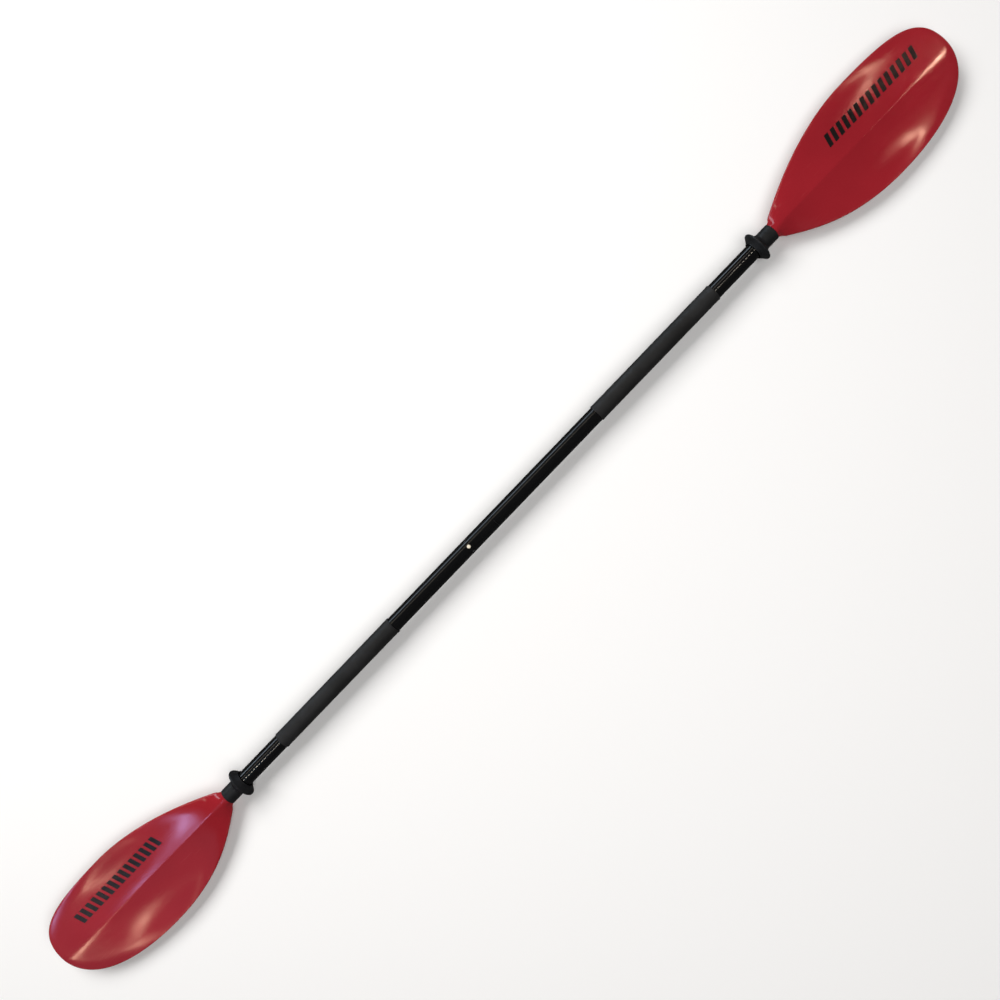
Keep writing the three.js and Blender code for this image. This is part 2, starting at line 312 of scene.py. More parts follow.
def blade_loop(short, spine, long):
    """A closed section: over the power face, round the long edge, under the back, round the short edge."""
    inner = []
    arcs = []
    for edge in (short, long):
        inward = (spine - edge) / max(np.linalg.norm(spine - edge), 1e-6)
        top = face_height(edge[0], edge[1], 0)
        thickness = blade_thickness(edge[0], edge[1], 0)
        half = min(thickness / 2, np.linalg.norm(spine - edge) * 0.45)
        inner.append(edge + inward * half)
        arcs.append(edge_arc(edge, inward, top - thickness / 2, thickness / 2))
    c = COLUMNS[:, None]
    points = np.where(c < 0, spine + (inner[0] - spine) * -c, spine + (inner[1] - spine) * c)
    x, y = points[:, 0], points[:, 1]
    reach = np.where(COLUMNS < 0, np.linalg.norm(spine - short), np.linalg.norm(spine - long))
    top = face_height(x, y, (1 - np.abs(COLUMNS)) * reach)
    bottom = top - blade_thickness(x, y, 1 - np.abs(COLUMNS))
    over = np.stack([x, y, top], 1)
    under = np.stack([x, y, bottom], 1)
    loop = np.concatenate([over, arcs[1], under[::-1], arcs[0][::-1]])
    circle = round_loop(0, ROOT_RADIUS)
    from_root = loop[:, 0] - ROOT_MM
    wide = smoothstep(from_root / ROOT_BLEND_WIDTH)
    high = smoothstep(from_root / ROOT_BLEND_HEIGHT)
    loop[:, 1] = circle[:, 1] * (1 - wide) + loop[:, 1] * wide
    loop[:, 2] = circle[:, 2] * (1 - high) + loop[:, 2] * high
    return loop


ROWS = 170
ROW_BIAS = 1.15
LAST_ROW = 0.996  # the last section is just short of the tip's point


def blade_mesh():
    """Points and faces of the right blade: a round neck that runs into the blade's sections."""
    t = np.linspace(0, 1, ROWS) ** ROW_BIAS * LAST_ROW
    short = two_beziers(*SHORT_EDGE, t)
    spine = two_beziers(*SPINE, t)
    long = two_beziers(*LONG_EDGE, t)
    neck = NECK_X / MM
    loops = [round_loop(neck, NECK_RADIUS - NECK_CHAMFER), round_loop(neck + NECK_CHAMFER, NECK_RADIUS)]
    loops += [round_loop(ROOT_MM, NECK_RADIUS)]
    loops += [blade_loop(short[row], spine[row], long[row]) for row in range(ROWS)]
    vertices = [(p[0] * MM, p[1] * MM, AXIS_Z + p[2] * MM) for loop in loops for p in loop]
    count = len(loops[0])
    faces = []
    for row in range(len(loops) - 1):
        faces += ring_faces(row * count, count)
    faces.append(tuple(range(count))[::-1])
    last = (len(loops) - 1) * count
    faces.append(tuple(range(last, last + count)))
    return vertices, faces


# ---- the generic graphic: a band of slanted bars printed on each power face, in mm ----

RIGHT_BAND_START = 893
LEFT_BAND_START = 868
BAND_Y = 40
BAND_HEIGHT = 23
BAR_WIDTH = 9
BAR_PITCH = 14.6
BAR_SLANT = 7
BAR_COUNT = 15
BAR_COLUMNS = 5
BAR_ROWS = 9
INK = 0.09


def bar_mesh(centre_x):
    """One slanted bar that follows the power face, sunk a little into it."""
    columns, rows = BAR_COLUMNS, BAR_ROWS
    sheets = []
    for lift in (INK, -INK):
        sheet = []
        for j in range(rows):
            v = j / (rows - 1) - 0.5
            for i in range(columns):
                u = i / (columns - 1) - 0.5
                x = centre_x + u * BAR_WIDTH + v * BAR_SLANT
                y = BAND_Y + v * BAND_HEIGHT
                z = face_height(x, y, RIM_ROLL_WIDTH) + lift
                sheet.append((x * MM, y * MM, AXIS_Z + z * MM))
        sheets.append(sheet)
    vertices = sheets[0] + sheets[1]
    size = columns * rows
    faces = []
    for j in range(rows - 1):
        for i in range(columns - 1):
            a = j * columns + i
            quad = (a, a + 1, a + columns + 1, a + columns)
            faces.append(quad)
            faces.append(tuple(size + k for k in quad[::-1]))
    rim = list(range(columns))
    rim += [j * columns + columns - 1 for j in range(1, rows)]
    rim += [(rows - 1) * columns + i for i in range(columns - 2, -1, -1)]
    rim += [j * columns for j in range(rows - 2, 0, -1)]
    for k, a in enumerate(rim):
        b = rim[(k + 1) % len(rim)]
        faces.append((a, size + a, size + b, b))
    return vertices, faces


def band_mesh(first_x):
    """Points and faces of the whole band, its first bar at first_x."""
    vertices, faces = [], []
    for k in range(BAR_COUNT):
        bar_vertices, bar_faces = bar_mesh(first_x + k * BAR_PITCH)
        offset = len(vertices)
        vertices += bar_vertices
        faces += [tuple(offset + i for i in face) for face in bar_faces]
    return vertices, faces


# ---- materials ----

class Nodes:
    """A material's node tree with short calls for the nodes used here."""

    def __init__(self, name):
        self.material = bpy.data.materials.new(name)
        self.material.use_nodes = True
        self.tree = self.material.node_tree
        self.bsdf = self.tree.nodes["Principled BSDF"]
        self.coordinates = self.tree.nodes.new("ShaderNodeTexCoord").outputs["Object"]

    def node(self, kind, **values):
        made = self.tree.nodes.new(kind)
        for key, value in values.items():
            setattr(made, key, value)
        return made

    def link(self, source, target):
        self.tree.links.new(source, target)

    def feed(self, socket, value):
        if isinstance(value, bpy.types.NodeSocket):
            self.link(value, socket)
        else:
            socket.default_value = value

    def stretched(self, x, y, z):
        mapping = self.node("ShaderNodeMapping")
        self.link(self.coordinates, mapping.inputs["Vector"])
        mapping.inputs["Scale"].default_value = (x, y, z)
        return mapping.outputs["Vector"]

    def noise(self, scale, detail=3.0, roughness=0.5, vector=None):
        made = self.node("ShaderNodeTexNoise")
        self.link(vector or self.coordinates, made.inputs["Vector"])
        made.inputs["Scale"].default_value = scale
        made.inputs["Detail"].default_value = detail
        made.inputs["Roughness"].default_value = roughness
        return made.outputs["Fac"]

    def voronoi(self, scale, feature="F1"):
        made = self.node("ShaderNodeTexVoronoi", feature=feature)
        self.link(self.coordinates, made.inputs["Vector"])
        made.inputs["Scale"].default_value = scale
        return made.outputs["Distance"]

    def math(self, operation, a, b=0.0):
        made = self.node("ShaderNodeMath", operation=operation)
        self.feed(made.inputs[0], a)
        self.feed(made.inputs[1], b)
        return made.outputs[0]

    def remap(self, value, from_low, from_high, to_low, to_high):
        made = self.node("ShaderNodeMapRange")
        self.link(value, made.inputs["Value"])
        made.inputs["From Min"].default_value = from_low
        made.inputs["From Max"].default_value = from_high
        made.inputs["To Min"].default_value = to_low
        made.inputs["To Max"].default_value = to_high
        return made.outputs["Result"]

    def mix(self, factor, a, b):
        made = self.node("ShaderNodeMix", data_type="RGBA")
        self.feed(made.inputs["Factor"], factor)
        self.feed(made.inputs[6], a)
        self.feed(made.inputs[7], b)
        return made.outputs[2]

    def bump(self, height, depth, strength=1.0, normal=None):
        made = self.node("ShaderNodeBump")
        self.link(height, made.inputs["Height"])
        made.inputs["Distance"].default_value = depth
        made.inputs["Strength"].default_value = strength
        if normal is not None:
            self.link(normal, made.inputs["Normal"])
        return made.outputs["Normal"]

    def set(self, **sockets):
        for key, value in sockets.items():
            self.feed(self.bsdf.inputs[key.replace("_", " ")], value)
        return self.material


def colour(red, green, blue):
    return (red, green, blue, 1.0)


def blade_plastic():
    """Glossy moulded red plastic: faint cloudiness, orange peel, hairline scuffs and rubbed edges."""
    n = Nodes("blade_red")
    cloud = n.remap(n.noise(7, 2), 0.35, 0.65, 0, 1)
    base = n.mix(cloud, colour(0.262, 0.0105, 0.0175), colour(0.300, 0.0125, 0.0205))
    grain = n.remap(n.noise(420, 2, 0.6), 0.3, 0.7, 0, 1)
    base = n.mix(n.math("MULTIPLY", grain, 0.10), base, colour(0.40, 0.03, 0.035))
    scuff_line = n.remap(n.noise(1, 2, 0.5, n.stretched(22, 700, 200)), 0.66, 0.74, 0, 1)
    scuff_area = n.remap(n.noise(11, 2), 0.5, 0.68, 0, 1)
    scuffs = n.math("MULTIPLY", scuff_line, scuff_area)
    edge = n.node("ShaderNodeAttribute", attribute_name="edge").outputs["Fac"]
    rubbed = n.math("MULTIPLY", edge, n.remap(n.noise(60, 3, 0.6), 0.42, 0.62, 0.1, 1))
    base = n.mix(n.math("MULTIPLY", scuffs, 0.25), base, colour(0.42, 0.07, 0.07))
    base = n.mix(n.math("MULTIPLY", rubbed, 0.35), base, colour(0.46, 0.09, 0.08))
    roughness = n.remap(n.noise(26, 3), 0.3, 0.7, 0.11, 0.17)
    roughness = n.math("ADD", roughness, n.math("MULTIPLY", rubbed, 0.16))
    roughness = n.math("ADD", roughness, n.math("MULTIPLY", scuffs, 0.12))
    peel = n.bump(n.noise(520, 2, 0.5), 0.00001)
    waves = n.bump(n.noise(16, 1, 0.4), 0.00012, normal=peel)
    hairs = n.bump(scuffs, 0.00002, normal=waves)
    return n.set(Base_Color=base, Roughness=roughness, Normal=hairs)


def print_ink():
    """Black screen-printed ink with a little wear."""
    n = Nodes("print_black")
    worn = n.remap(n.noise(240, 4, 0.65), 0.64, 0.72, 0, 1)
    base = n.mix(n.math("MULTIPLY", worn, 0.5), colour(0.0065, 0.005, 0.005), colour(0.10, 0.012, 0.014))
    roughness = n.remap(n.noise(90, 3), 0.3, 0.7, 0.28, 0.42)
    peel = n.bump(n.noise(520, 2, 0.5), 0.00002)
    grain = n.bump(n.noise(1500, 2), 0.00001, normal=peel)
    return n.set(Base_Color=base, Roughness=roughness, Normal=grain)


def around_shaft(n):
    """Distance along the shaft and the angle about its axis, as node values."""
    parts = n.node("ShaderNodeSeparateXYZ")
    n.link(n.coordinates, parts.inputs[0])
    height = n.math("SUBTRACT", parts.outputs["Z"], AXIS_Z)
    return parts.outputs["X"], n.math("ARCTAN2", parts.outputs["Y"], height)


TAPE_PITCH = 7.2 * MM
TURNING_PITCH = 0.9 * MM


def shaft_composite():
    """Glossy black composite tube with the faint helical ridges that the wrapping tape leaves."""
    n = Nodes("shaft_black")
    along, angle = around_shaft(n)
    turns = n.math("MULTIPLY", along, 2 * math.pi / TAPE_PITCH)
    wobble = n.math("MULTIPLY", n.noise(30, 2), 2.5)
    ridge = n.math("SINE", n.math("ADD", n.math("ADD", turns, angle), wobble))
    fleck = n.remap(n.noise(900, 3, 0.6, n.stretched(0.25, 1, 1)), 0.35, 0.7, 0, 1)
    base = n.mix(fleck, colour(0.0018, 0.0019, 0.0022), colour(0.0042, 0.0044, 0.0048))
    dull = n.remap(n.noise(9, 3, 0.6), 0.35, 0.7, 0.07, 0.14)
    rubs = n.remap(n.noise(1, 3, 0.6, n.stretched(14, 420, 420)), 0.62, 0.75, 0, 0.12)
    roughness = n.math("ADD", dull, rubs)
    ridges = n.bump(ridge, 0.00004)
    fine = n.bump(n.noise(180, 2, 0.5), 0.000006, normal=ridges)
    return n.set(Base_Color=base, Roughness=roughness, Normal=fine)


def grip_rubber():
    """Matt black sleeve with a fine pebbled skin, a little shinier in patches."""
    n = Nodes("grip_black")
    tone = n.remap(n.noise(16, 3, 0.6), 0.35, 0.65, 0, 1)
    base = n.mix(tone, colour(0.0105, 0.0105, 0.0105), colour(0.0165, 0.0165, 0.017))
    roughness = n.remap(n.noise(22, 3), 0.3, 0.7, 0.52, 0.66)
    pebble = n.bump(n.voronoi(950, "SMOOTH_F1"), 0.00012, 0.7)
    skin = n.bump(n.noise(140, 2), 0.00007, normal=pebble)
    return n.set(Base_Color=base, Roughness=roughness, Normal=skin)


def soft_rubber(name, dark, light, low, high):
    """Matt moulded rubber with dusty tone changes and a fine grain."""
    n = Nodes(name)
    tone = n.remap(n.noise(70, 3, 0.6), 0.35, 0.65, 0, 1)
    base = n.mix(tone, dark, light)
    roughness = n.remap(n.noise(120, 3), 0.3, 0.7, low, high)
    grain = n.bump(n.noise(2200, 2, 0.6), 0.00003)
    skin = n.bump(n.noise(110, 2), 0.00009, normal=grain)
    return n.set(Base_Color=base, Roughness=roughness, Normal=skin)


def button_plastic():
    """Satin cream plastic."""
    n = Nodes("button_cream")
    tone = n.remap(n.noise(300, 3, 0.6), 0.35, 0.65, 0, 1)
    base = n.mix(tone, colour(0.78, 0.71, 0.55), colour(0.86, 0.80, 0.66))
    roughness = n.remap(n.noise(500, 2), 0.3, 0.7, 0.32, 0.46)
    return n.set(Base_Color=base, Roughness=roughness, Normal=n.bump(n.noise(900, 2), 0.00002))


def ferrule_composite():
    """Satin dark composite with the fine rings that turning leaves."""
    n = Nodes("ferrule_grey")
    along, _ = around_shaft(n)
    lines = n.math("SINE", n.math("MULTIPLY", along, 2 * math.pi / TURNING_PITCH))
    tone = n.remap(n.noise(60, 4, 0.6), 0.35, 0.65, 0, 1)
    base = n.mix(tone, colour(0.030, 0.031, 0.034), colour(0.050, 0.052, 0.056))
    roughness = n.remap(n.noise(1, 3, 0.6, n.stretched(30, 300, 300)), 0.3, 0.7, 0.34, 0.5)
    return n.set(Base_Color=base, Roughness=roughness, Normal=n.bump(lines, 0.000008))


def satin_steel():
    """Steel brushed along the shaft."""
    n = Nodes("steel")
    tone = n.remap(n.noise(400, 3, 0.6), 0.35, 0.65, 0, 1)
    base = n.mix(tone, colour(0.46, 0.47, 0.48), colour(0.58, 0.59, 0.60))
    roughness = n.remap(n.noise(1, 3, 0.6, n.stretched(60, 2500, 900)), 0.3, 0.7, 0.24, 0.42)
    brushing = n.bump(n.noise(1800, 2), 0.00001)
    return n.set(Base_Color=base, Roughness=roughness, Metallic=1.0, Normal=brushing)


def closed_cell_foam():
    """Pale closed-cell foam with fine pores."""
    n = Nodes("foam")
    cells = n.voronoi(1300)
    base = n.mix(n.remap(cells, 0.1, 0.7, 0, 1), colour(0.82, 0.79, 0.70), colour(0.62, 0.59, 0.50))
    roughness = n.remap(n.noise(200, 2), 0.3, 0.7, 0.85, 0.97)
    return n.set(Base_Color=base, Roughness=roughness, Normal=n.bump(cells, 0.0003))


BLADE_RED = blade_plastic()
INK_BLACK = print_ink()
SHAFT_BLACK = shaft_composite()
GRIP_BLACK = grip_rubber()
RING_RUBBER = soft_rubber(
    "ring_rubber", colour(0.0055, 0.0058, 0.0066), colour(0.0105, 0.011, 0.0125), 0.38, 0.54)
COLLAR_BLACK = soft_rubber(
    "collar_black", colour(0.0065, 0.0067, 0.0072), colour(0.0105, 0.0108, 0.0116), 0.46, 0.6)
BUTTON_CREAM = button_plastic()
FERRULE_GREY = ferrule_composite()
STEEL = satin_steel()
FOAM = closed_cell_foam()


# ---- pieces ----

SIDES = (("right", 1), ("left", -1))
SLEEVE_CLEARANCE = 0.06 * MM  # between a sleeve and the tube inside it
RUBBED_WIDTH = 4 * MM


def sided(vertices, side):
    """The points themselves for the right side, mirrored ones for the left."""
    return vertices if side > 0 else mirror(vertices)


def add_edge_attribute(obj):
    """Stores, for each point of a blade, how near it is to the rim: 1 on the rim, 0 further in."""
    values = np.zeros(len(obj.data.vertices), np.float32)
    loop = len(round_loop(0, 1))
    columns = len(COLUMNS)
    arc = len(EDGE_ANGLES)
    points = np.array([v.co for v in obj.data.vertices])
    for start in range(NECK_LOOPS * loop, len(points), loop):
        section = points[start:start + loop]
        short = section[2 * columns + arc:]
        long = section[columns:columns + arc]
        for rim in (short.mean(0), long.mean(0)):
            distance = np.linalg.norm(section - rim, axis=1)
            share = np.clip(1 - distance / RUBBED_WIDTH, 0, 1)
            values[start:start + loop] = np.maximum(values[start:start + loop], share)
    attribute = obj.data.attributes.new("edge", "FLOAT", "POINT")
    attribute.data.foreach_set("value", values)


def make_blades():
    vertices, faces = blade_mesh()
    band_vertices, band_faces = band_mesh(RIGHT_BAND_START)
    left_band_vertices, _ = band_mesh(LEFT_BAND_START)
    for side, sign in SIDES:
        blade = link_mesh(f"{side}_blade_moulding", sided(vertices, sign), faces)
        shade(blade, 40)
        add_edge_attribute(blade)
        place(blade, f"{side}_half", BLADE_RED, "blade_red", f"{side}_blade")
        ink_vertices = band_vertices if sign > 0 else left_band_vertices
        ink = link_mesh(f"{side}_blade_print", sided(ink_vertices, sign), band_faces)
        shade(ink, 30)
        place(ink, f"{side}_half", INK_BLACK, "blade_red")


def flipped(profile):
    return [(-x, r) for x, r in profile]


def turned_piece(name, profile, body, material, slot, node, closed=True, segments=96):
    vertices, faces = revolve(profile, closed, segments)
    obj = link_mesh(name, vertices, faces)
    shade(obj)
    place(obj, body, material, slot, node)


def turned_pair(kind, suffix, profile, body, material, slot):
    """The same turned piece on both sides, the left one mirrored."""
    for side, sign in SIDES:
        shape = profile if sign > 0 else flipped(profile)
        turned_piece(f"{side}_{kind}_{suffix}", shape, f"{side}_{body}", material, slot, f"{side}_{kind}")


def make_grips():
    """Sleeves with a raised bead at each end and slight waves between."""
    low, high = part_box("right_grip")
    inner = SHAFT_RADIUS + SLEEVE_CLEARANCE
    outer = (high.y - low.y) / 2
    bead_radius = outer + 0.25 * MM
    skin_radius = outer - 0.1 * MM
    bead, skin = 3.2 * MM, 3.9 * MM
    points = [
        (low.x, inner, 0), (low.x, bead_radius, 1), (low.x + bead, bead_radius, 0.6),
        (low.x + skin, skin_radius, 0.4),
    ]
    steps = 60
    for k in range(1, steps):
        x = low.x + skin + (high.x - low.x - 2 * skin) * k / steps
        wave = 0.07 * math.sin(k * 1.7) + 0.05 * math.sin(k * 0.63 + 1)
        points.append((x, skin_radius + wave * MM, 0))
    points += [
        (high.x - skin, skin_radius, 0.4), (high.x - bead, bead_radius, 0.6),
        (high.x, bead_radius, 1), (high.x, inner, 0),
    ]
    turned_pair("grip", "sleeve", rounded(points, 0.7 * MM), "half", GRIP_BLACK, "grip_black")


def make_collars():
    """Sleeves over the tube ends, slightly uneven along their length."""
    inner = SHAFT_RADIUS + SLEEVE_CLEARANCE
    outer = (collar_high.y - collar_low.y) / 2
    length = collar_high.x - collar_low.x
    points = [(collar_low.x, inner, 0), (collar_low.x, outer - 0.2 * MM, 1)]
    steps = 12
    for k in range(1, steps):
        x = collar_low.x + length * k / steps
        points.append((x, outer - 0.1 * MM + 0.12 * MM * math.sin(k * 1.9), 0))
    points += [(collar_high.x, outer - 0.15 * MM, 1), (collar_high.x, inner, 0)]
    turned_pair("collar", "sleeve", rounded(points, 0.8 * MM), "half", COLLAR_BLACK, "collar_black")


def make_drip_rings():
    """Rubber rings with a thin flange, from a profile of (along, radius, rounding) points in mm."""
    low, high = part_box("right_drip_ring")
    rim = (high.y - low.y) / 2 / MM
    bore = SHAFT_RADIUS / MM + 0.1
    length = (high.x - low.x) / MM
    shape = [
        (0.1, 17.4, 0.3), (5.7, bore, 0.6), (length, bore, 0), (length, 16.7, 0.5), (18.0, 17.9, 1.5),
        (15.2, 21.3, 2.5), (13.4, 27.2, 1), (12.4, rim, 0.8), (10.0, rim, 0.8), (8.6, 27.5, 1),
        (4.9, 22.3, 2.5), (1.0, 18.4, 1), (0, 17.9, 0.4),
    ]
    points = [(low.x + along * MM, radius * MM, factor) for along, radius, factor in shape]
    turned_pair("drip_ring", "rubber", rounded(points, 1.2 * MM, 5), "ring", RING_RUBBER, "ring_rubber")


BUTTON_HOLE = 3.7 * MM
FEATHER_ANGLES = (-60, 0, 60)
DRILL_LENGTH = 20 * MM


def radial_drill(x, degrees):
    """A cutter that stands out of the shaft at x, turned about it from straight up."""
    bpy.ops.mesh.primitive_cylinder_add(vertices=64, radius=BUTTON_HOLE, depth=DRILL_LENGTH)
    drill = bpy.context.object
    drill.data.transform(Matrix.Translation((0, 0, SHAFT_RADIUS)))
    drill.data.transform(Matrix.Rotation(math.radians(degrees), 4, "X"))
    drill.data.transform(Matrix.Translation((x, 0, AXIS_Z)))
    return drill


def drill_through(obj, x, angles):
    """Cuts a button hole at each angle."""
    for drill in [radial_drill(x, angle) for angle in angles]:
        cut = obj.modifiers.new("cut", "BOOLEAN")
        cut.operation = "DIFFERENCE"
        cut.solver = "EXACT"
        cut.object = drill
        bpy.context.view_layer.objects.active = obj
        bpy.ops.object.modifier_apply(modifier=cut.name)
        bpy.data.objects.remove(drill)


ON_WALL = 0.05 * MM  # how far from the wall's radius a point may be
FACES_OUT = 0.93  # how nearly a face must look straight out or in


def round_normals(obj, radii):
    """Gives faces on the round walls the wall's own normals, so that cuts don't show as creases."""
    mesh = obj.data
    normals = []
    for face in mesh.polygons:
        for index in face.loop_indices:
            point = mesh.vertices[mesh.loops[index].vertex_index].co
            out = Vector((0, point.y, point.z - AXIS_Z))
            distance = out.length
            normal = face.normal.copy()
            on_wall = any(abs(distance - r) < ON_WALL for r in radii)
            if on_wall and distance > 0 and abs(face.normal.dot(out) / distance) > FACES_OUT:
                normal = out.normalized() * (1 if face.normal.dot(out) > 0 else -1)
            normals.append(normal)
    for face in mesh.polygons:
        face.use_smooth = True
    mesh.normals_split_custom_set(normals)


def make_shaft(button_x):
    """The two tubes, the left one with a button hole for each feather angle."""
    chamfer = 0.35 * MM
    low, high = tube_low.x, tube_high.x
    inner = SHAFT_RADIUS - TUBE_WALL
    profile = [
        (low, inner + chamfer), (low, SHAFT_RADIUS - chamfer), (low + chamfer, SHAFT_RADIUS),
        (high - chamfer, SHAFT_RADIUS), (high, SHAFT_RADIUS - chamfer), (high, inner + chamfer),
        (high - chamfer, inner), (low + chamfer, inner),
    ]
    for side, sign in SIDES:
        shape = profile if sign > 0 else flipped(profile)
        vertices, faces = revolve(shape, True, 128)
        tube = link_mesh(f"{side}_shaft_tube_fine", vertices, faces)
        shade(tube)
        if sign < 0:
            drill_through(tube, button_x, FEATHER_ANGLES)
            round_normals(tube, (SHAFT_RADIUS, inner))
        place(tube, f"{side}_half", SHAFT_BLACK, "shaft_black", f"{side}_shaft_tube")


def make_ferrule(button_x):
    """The sleeve inside the joint, with tapered ends and a hole for the button."""
    low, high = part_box("ferrule")
    outer = (high.y - low.y) / 2
    inner = outer - 1.5 * MM
    taper, drop, end_drop = 2.2 * MM, 0.5 * MM, 0.6 * MM
    chamfer, bevel = 0.4 * MM, 0.3 * MM
    profile = [
        (low.x, inner + bevel), (low.x, outer - drop), (low.x + taper, outer),
        (high.x - taper, outer), (high.x, outer - end_drop), (high.x, inner + bevel),
        (high.x - chamfer, inner), (low.x + chamfer, inner),
    ]
    vertices, faces = revolve(profile, True)
    sleeve = link_mesh("ferrule_sleeve", vertices, faces)
    shade(sleeve)
    drill_through(sleeve, button_x, (0,))
    round_normals(sleeve, (outer, inner))
    place(sleeve, "left_half", FERRULE_GREY, "ferrule_grey", "ferrule")


PLUG_BODIES = (
    ("left_foam_plug", "left_half"), ("right_foam_plug", "right_core"), ("ferrule_plug", "left_half"))


def make_plugs():
    """Round foam plugs with soft corners."""
    corner = 1.2 * MM
    middle = 0.35 * corner  # where the corner's middle point lies
    for node, body in PLUG_BODIES:
        low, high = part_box(node)
        radius = (high.y - low.y) / 2
        profile = [
            (low.x, 0), (low.x, radius - corner), (low.x + middle, radius - middle),
            (low.x + corner, radius), (high.x - corner, radius),
            (high.x - middle, radius - middle), (high.x, radius - corner), (high.x, 0),
        ]
        turned_piece(f"{node}_foam", profile, body, FOAM, "foam", node, closed=False, segments=64)


def make_button():
    """The snap button: a flange below and a domed head, turned about the vertical."""
    low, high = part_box("snap_button")
    x = (low.x + high.x) / 2
    flange = (high.x - low.x) / 2
    body = flange - 1.2 * MM
    flange_top = low.z + 1.5 * MM
    edge = 1.3 * MM  # radius of the head's rounded edge
    dome = 0.4 * MM
    shoulder = high.z - dome - edge
    outline = [(0, low.z), (flange, low.z), (flange, flange_top), (body, flange_top), (body, shoulder)]
    for k in range(1, 9):
        angle = math.radians(90 * k / 9)
        outline.append((body - edge * (1 - math.cos(angle)), shoulder + edge * math.sin(angle)))
    for k in range(1, 5):
        share = 1 - k / 5
        outline.append(((body - edge) * share, high.z - dome * share * share))
    outline.append((0, high.z))
    vertices, faces = [], []
    segments = 48
    for radius, z in outline:
        for k in range(segments):
            angle = 2 * math.pi * k / segments
            vertices.append((x + radius * math.cos(angle), radius * math.sin(angle), z))
    for i in range(len(outline) - 1):
        faces += ring_faces(i * segments, segments)
    cap = link_mesh("snap_button_cap", vertices, faces)
    bm = bmesh.new()
    bm.from_mesh(cap.data)
    bmesh.ops.remove_doubles(bm, verts=bm.verts, dist=1e-7)
    bm.to_mesh(cap.data)
    bm.free()
    shade(cap, 40)
    place(cap, "button", BUTTON_CREAM, "button_cream", "snap_button")


SPRING_THICKNESS = 0.6 * MM
SPRING_FOLD = 2.6 * MM
SPRING_SEAT = 7 * MM  # how far the flat under the button reaches each way


def make_spring(button_x):
    """A V of spring steel with a flat seat under the button."""
    low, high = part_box("button_spring")
    half = SPRING_THICKNESS / 2
    seat, foot = high.z - half, low.z + half
    centre_x, centre_z = high.x - half - SPRING_FOLD, foot + SPRING_FOLD
    path = [(low.x, foot)]
    for degrees in range(-90, 71, 10):
        turn = math.radians(degrees)
        path.append((centre_x + SPRING_FOLD * math.cos(turn), centre_z + SPRING_FOLD * math.sin(turn)))
    path += [(button_x + SPRING_SEAT, seat), (button_x - SPRING_SEAT, seat)]
    vertices, faces = [], []
    for i, (x, z) in enumerate(path):
        before, after = path[max(i - 1, 0)], path[min(i + 1, len(path) - 1)]
        run, rise = after[0] - before[0], after[1] - before[1]
        length = math.hypot(run, rise)
        side_x, side_z = -rise / length * half, run / length * half
        for y, sign in ((low.y, 1), (high.y, 1), (high.y, -1), (low.y, -1)):
            vertices.append((x + sign * side_x, y, z + sign * side_z))
    for i in range(len(path) - 1):
        faces += ring_faces(i * 4, 4)
    last = (len(path) - 1) * 4
    faces += [(3, 2, 1, 0), (last, last + 1, last + 2, last + 3)]
    leaf = link_mesh("button_spring_leaf", vertices, faces)
    shade(leaf)
    place(leaf, "left_half", STEEL, "steel", "button_spring")
    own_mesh(leaf)


def finish_rivets():
    """The rivets keep their CAD shape and get the real finish."""
    for side, _ in SIDES:
        for level in ("upper", "lower"):
            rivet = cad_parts[f"{side}_{level}_rivet"]
            rivet.data.materials.clear()
            rivet.data.materials.append(STEEL)


make_blades()
make_grips()
make_collars()
make_drip_rings()
make_shaft(BUTTON_X)
make_ferrule(BUTTON_X)
make_plugs()
make_button()
make_spring(BUTTON_X)
finish_rivets()


# ---- floor, light and camera ----

WHITE = colour(0.96, 0.96, 0.96)
FLOOR_REACH = 20
FLOOR_DROP = 0.4 * MM  # the floor is this far under the drip rings
LIT_REACH = 1.6  # this far from the middle the floor shows its light and shade
FADE_END = 3.6  # and from here on it is plain white


def make_floor():
    """A matt pale floor that turns into the white background far from the paddle."""
    corners = [(x * FLOOR_REACH, y * FLOOR_REACH, 0) for x, y in ((-1, -1), (1, -1), (1, 1), (-1, 1))]
    floor = link_mesh("floor", corners, [(0, 1, 2, 3)])
    floor.location.z = -FLOOR_DROP
    n = Nodes("floor_white")
    n.set(Base_Color=colour(0.93, 0.93, 0.93), Roughness=0.9)
    n.bsdf.inputs["Specular IOR Level"].default_value = 0.0
    reach = n.node("ShaderNodeVectorMath", operation="LENGTH")
    n.link(n.coordinates, reach.inputs[0])
    fade = n.node("ShaderNodeMapRange", interpolation_type="SMOOTHSTEP")
    n.link(reach.outputs["Value"], fade.inputs["Value"])
    fade.inputs["From Min"].default_value = LIT_REACH
    fade.inputs["From Max"].default_value = FADE_END
    glow = n.node("ShaderNodeEmission")
    glow.inputs["Color"].default_value = WHITE
    mixed = n.node("ShaderNodeMixShader")
    n.link(fade.outputs["Result"], mixed.inputs["Fac"])
    n.link(n.bsdf.outputs["BSDF"], mixed.inputs[1])
    n.link(glow.outputs["Emission"], mixed.inputs[2])
    n.link(mixed.outputs["Shader"], n.tree.nodes["Material Output"].inputs["Surface"])
    floor.data.materials.append(n.material)
    floor.visible_glossy = False


